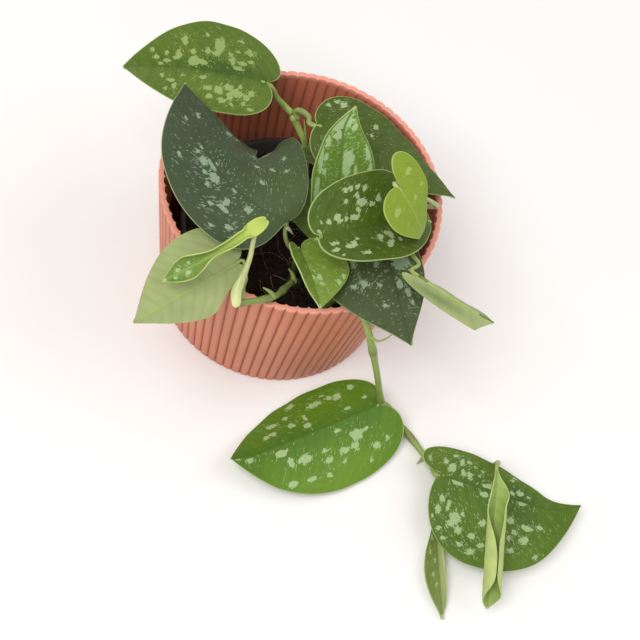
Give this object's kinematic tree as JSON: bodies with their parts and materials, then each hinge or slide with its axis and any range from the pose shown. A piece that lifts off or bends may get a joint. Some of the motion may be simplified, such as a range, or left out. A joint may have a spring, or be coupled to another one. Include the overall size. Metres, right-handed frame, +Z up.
{
  "type": "potted satin pothos",
  "caption": "Satin pothos rooted in a black grower's pot inside a reeded round planter, its silver-marked heart-shaped leaves above the rim and a vine trailing beside it.",
  "frame": {"origin": "middle of the planter's flat base", "axes": "-Z down out of the flat base, +Z up along the planter's axis; the vine trails towards +X and -Y"},
  "size_m": [0.3271, 0.2536, 0.1672],
  "materials": {
    "planter": "matte coral pink",
    "nursery_pot": "dull black",
    "soil": "moist peat with bark and roots",
    "stem": "smooth green stem",
    "leaf_green": "satin, splashed with silver",
    "leaf_dark": "satin, flecked with silver",
    "leaf_lime": "satin, young",
    "leaf_pale": "matte pale underside"
  },
  "bodies": {
    "root": {"planter": "planter", "nursery_pot": "nursery_pot", "soil": "soil", "stem_crown": "stem", "stem_centre": "stem", "stem_right": "stem", "stem_lime": "stem", "stem_trailing": "stem", "leaf_back_left": "leaf_green", "leaf_back_right": "leaf_green", "leaf_broad_dark": "leaf_dark", "leaf_small_front": "leaf_green", "leaf_turned_over": "leaf_pale", "leaf_new_rolled": "leaf_lime", "leaf_upright": "leaf_green", "leaf_centre_right": "leaf_green", "leaf_young_lime": "leaf_lime", "leaf_dark_front": "leaf_dark", "leaf_narrow_right": "leaf_pale", "leaf_small_behind": "leaf_dark", "leaf_shaded": "leaf_dark", "leaf_trail_first": "leaf_green", "leaf_trail_broad": "leaf_green", "leaf_trail_rolled": "leaf_pale", "leaf_trail_narrow": "leaf_dark"}
  },
  "joints": []
}
